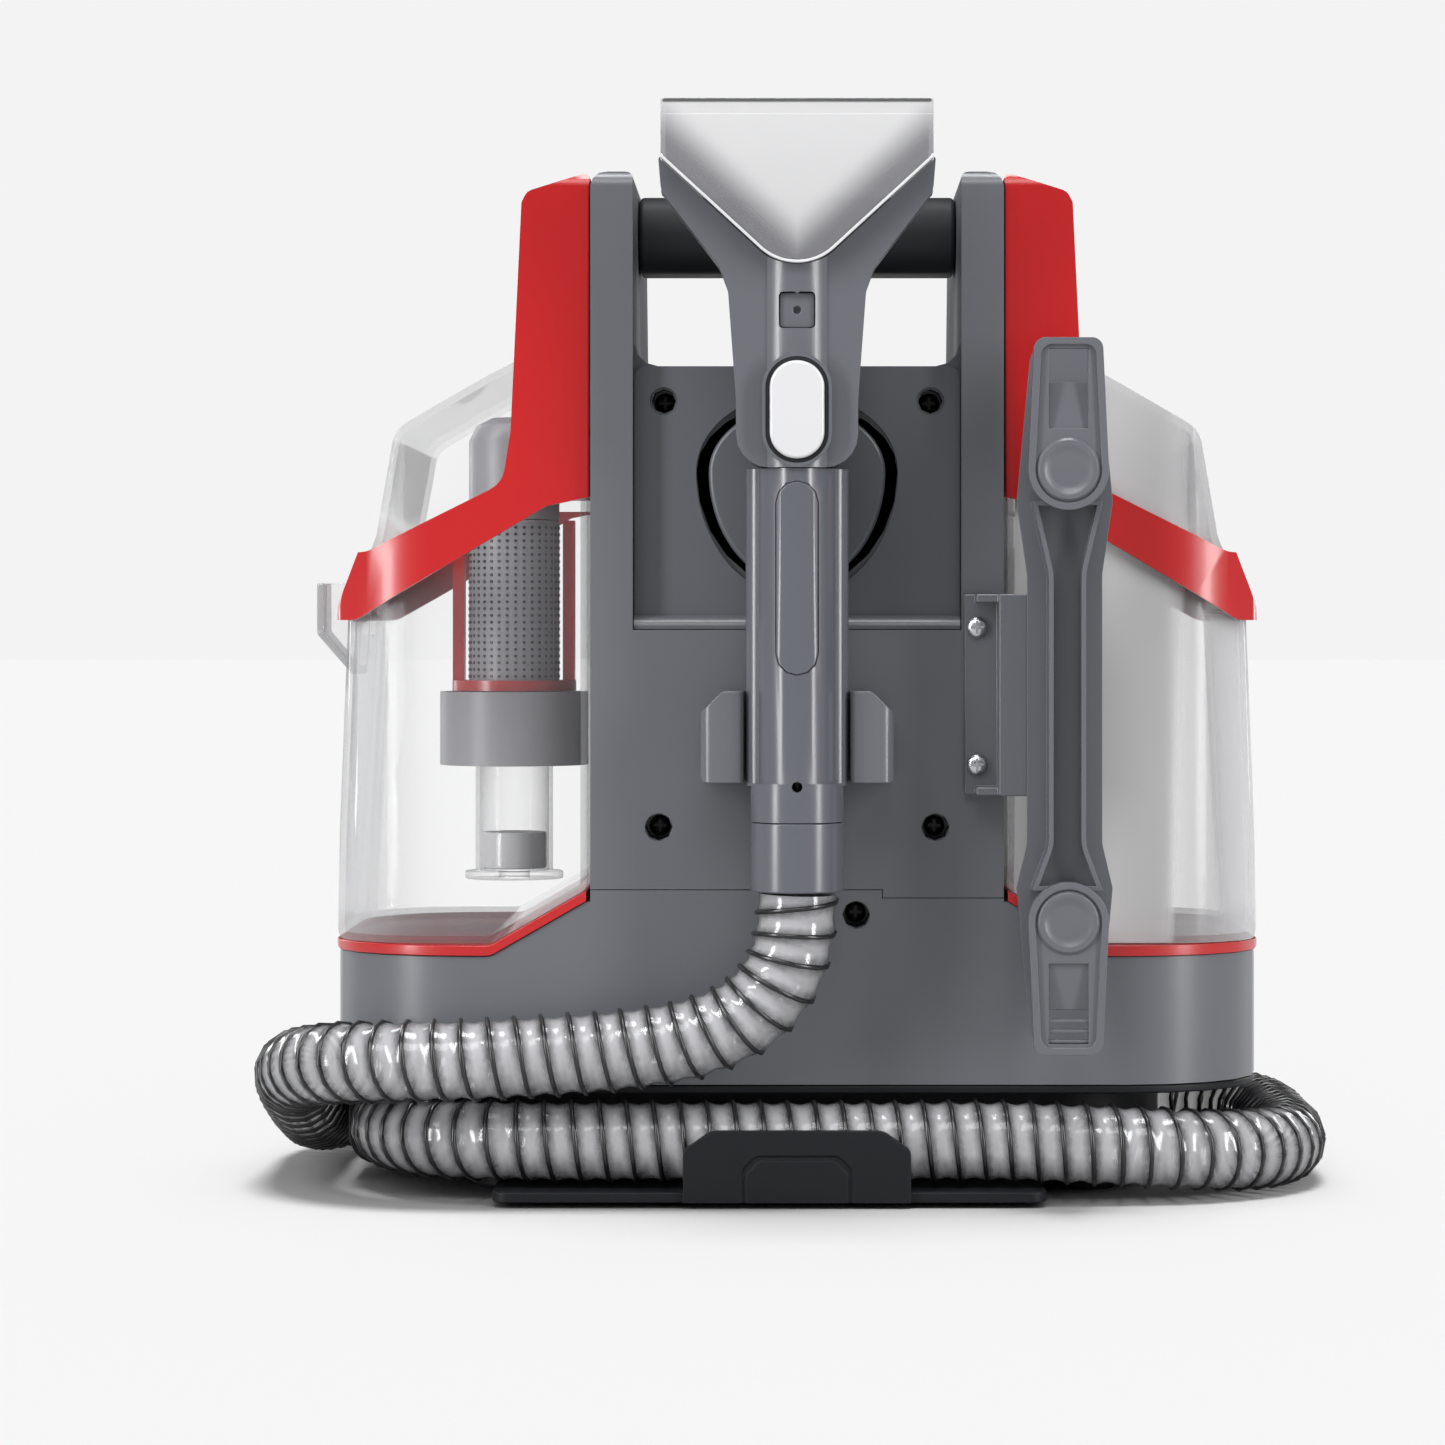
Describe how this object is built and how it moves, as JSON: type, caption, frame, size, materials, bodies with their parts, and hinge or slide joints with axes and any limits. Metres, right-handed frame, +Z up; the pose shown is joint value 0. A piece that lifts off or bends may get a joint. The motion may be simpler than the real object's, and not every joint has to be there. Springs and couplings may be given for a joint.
{
  "type": "portable carpet cleaner",
  "caption": "Portable spot carpet cleaner with lift-off tanks beside a handled tower, a stored wand with its spot tool, a wrapped hose and a cord wrap.",
  "frame": {"origin": "under the middle of the machine without its free hose, on the surface that it stands on", "axes": "+Z up, -Y towards the side that the wand is stored on, +X to the right when looking at that side"},
  "size_m": [0.4047, 0.2666, 0.397],
  "materials": {
    "grey_shell": "moulded satin grey with a fine texture",
    "panel_grey": "moulded satin darker grey",
    "dark_shell": "moulded fine-textured near black",
    "red_gloss": "glossy red",
    "clear_tank": "clear polished moulding",
    "smoke_tank": "smoke-tinted polished moulding",
    "tool_grey": "moulded satin mid grey",
    "wand_grey": "moulded satin grey",
    "separator_grey": "moulded light grey",
    "black_rubber": "matt black rubber",
    "white_gloss": "glossy white",
    "zinc_steel": "zinc-plated screws",
    "motor_metal": "average of a wound motor in its can",
    "hose_clear": "clear corrugated hose with a black wire rib"
  },
  "bodies": {
    "root": {"base_shell": "grey_shell", "bottom_pan": "dark_shell", "hose_clip": "dark_shell", "foot_1": "black_rubber", "foot_2": "black_rubber", "foot_3": "black_rubber", "foot_4": "black_rubber", "seat_trim_left": "red_gloss", "seat_trim_right": "red_gloss", "hose_port": "dark_shell", "housing_screw_1": "zinc_steel", "housing_screw_2": "zinc_steel", "housing_screw_3": "zinc_steel", "housing_screw_4": "zinc_steel", "housing_screw_5": "zinc_steel", "tower_front": "grey_shell", "tower_back": "grey_shell", "front_panel": "panel_grey", "handle_grip": "black_rubber", "wand_cradle": "tool_grey", "bracket_screw_1": "zinc_steel", "bracket_screw_2": "zinc_steel", "wrap_bracket": "tool_grey", "wrap_post": "tool_grey", "exhaust_grille": "dark_shell", "motor": "motor_metal", "fan_housing": "dark_shell", "suction_duct": "dark_shell", "water_pump": "dark_shell", "pump_tube": "clear_tank", "hose": "hose_clear"},
    "dirty_tank_unit": {"dirty_tank": "clear_tank", "dirty_frame": "red_gloss", "separator_cap": "separator_grey", "separator_screen": "separator_grey", "separator_rails": "red_gloss", "separator_cup": "separator_grey", "float_cage": "clear_tank", "spout": "clear_tank"},
    "float_unit": {"float": "separator_grey"},
    "flap_unit": {"spout_flap": "red_gloss"},
    "clean_tank_unit": {"clean_tank": "smoke_tank", "clean_frame": "red_gloss"},
    "cap_unit": {"clean_cap": "black_rubber"},
    "wand_unit": {"wand_body": "wand_grey", "grip_pad": "black_rubber", "hose_cuff": "wand_grey"},
    "trigger_unit": {"trigger": "black_rubber"},
    "tool_unit": {"tool_body": "tool_grey", "spray_tip": "tool_grey", "nozzle_window": "clear_tank"},
    "button_unit": {"release_button": "white_gloss"},
    "upper_hook_unit": {"upper_hook": "tool_grey"},
    "lower_hook_unit": {"lower_hook": "tool_grey"},
    "power_unit": {"power_button": "black_rubber"},
    "fan_unit": {"motor_shaft": "zinc_steel", "fan_impeller": "motor_metal"}
  },
  "joints": [
    {"name": "dirty_tank_lift", "type": "slide", "parent": "root", "child": "dirty_tank_unit", "axis": [0, 0, 1], "range_m": [0, 0.24]},
    {"name": "float_rise", "type": "slide", "parent": "dirty_tank_unit", "child": "float_unit", "axis": [0, 0, 1], "range_m": [0, 0.02]},
    {"name": "spout_flap_swing", "type": "hinge", "parent": "dirty_tank_unit", "child": "flap_unit", "pos_m": [-0.1638, 0.02115, 0.225], "axis": [0, 1, 0], "range_deg": [0, 35]},
    {"name": "clean_tank_lift", "type": "slide", "parent": "root", "child": "clean_tank_unit", "axis": [0, 0, 1], "range_m": [0, 0.24]},
    {"name": "clean_cap_turn", "type": "hinge", "parent": "clean_tank_unit", "child": "cap_unit", "pos_m": [0.1375, 0.02115, 0.093], "axis": [0, 0, 1], "range_deg": [-90, 0]},
    {"name": "wand_release", "type": "slide", "parent": "root", "child": "wand_unit", "axis": [0, -1, 0], "range_m": [0, 0.06]},
    {"name": "trigger_pull", "type": "hinge", "parent": "wand_unit", "child": "trigger_unit", "pos_m": [0.0055, -0.09385, 0.258], "axis": [-1, 0, 0], "range_deg": [0, 12], "stiffness_Nm_per_rad": 0.4, "springref_deg": -5.73},
    {"name": "tool_pull_off", "type": "slide", "parent": "wand_unit", "child": "tool_unit", "axis": [0, 0, 1], "range_m": [0, 0.05]},
    {"name": "release_button_press", "type": "slide", "parent": "tool_unit", "child": "button_unit", "axis": [0, 1, 0], "range_m": [0, 0.0025], "stiffness_N_per_m": 800, "springref_m": -0.001},
    {"name": "upper_hook_swivel", "type": "hinge", "parent": "root", "child": "upper_hook_unit", "pos_m": [0.102, -0.11685, 0.265], "axis": [0, 1, 0], "range_deg": [0, 180]},
    {"name": "lower_hook_swivel", "type": "hinge", "parent": "root", "child": "lower_hook_unit", "pos_m": [0.102, -0.11685, 0.104], "axis": [0, -1, 0], "range_deg": [0, 180]},
    {"name": "power_button_press", "type": "slide", "parent": "root", "child": "power_unit", "axis": [0, -1, 0], "range_m": [0, 0.0025], "stiffness_N_per_m": 900, "springref_m": -0.001},
    {"name": "fan_spin", "type": "hinge", "parent": "root", "child": "fan_unit", "pos_m": [0.0055, 0.03115, 0.15], "axis": [0, 0, 1], "continuous": true}
  ]
}
